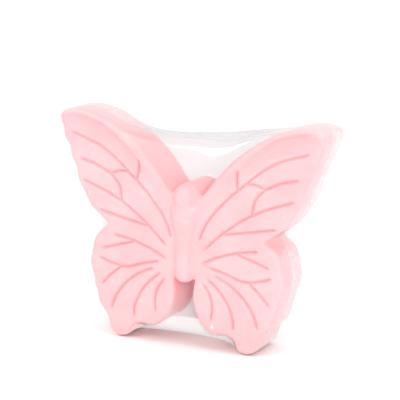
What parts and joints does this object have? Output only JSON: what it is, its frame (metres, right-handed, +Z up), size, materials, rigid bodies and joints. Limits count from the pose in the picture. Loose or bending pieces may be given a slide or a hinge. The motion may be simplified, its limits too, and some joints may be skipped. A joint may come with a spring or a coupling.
{
  "type": "film-wrapped soap bar",
  "caption": "Butterfly-shaped soap bar with a raised body and engraved wing veins, shrink-wrapped in clear film and standing upright on its two tail tips.",
  "frame": {"origin": "centre of the bottom of the wrapped bar's box, on the surface it stands on", "axes": "+X across the wings, -Y out of the carved front, +Z up towards the wing tips"},
  "size_m": [0.0818, 0.02, 0.0658],
  "materials": {
    "soap": "cast soap, waxy satin",
    "film": "clear glossy shrink film",
    "film_weld": "clear film, heat welded"
  },
  "bodies": {
    "root": {"soap_bar": "soap", "film_front": "film", "film_back": "film", "film_seam": "film_weld"}
  },
  "joints": []
}
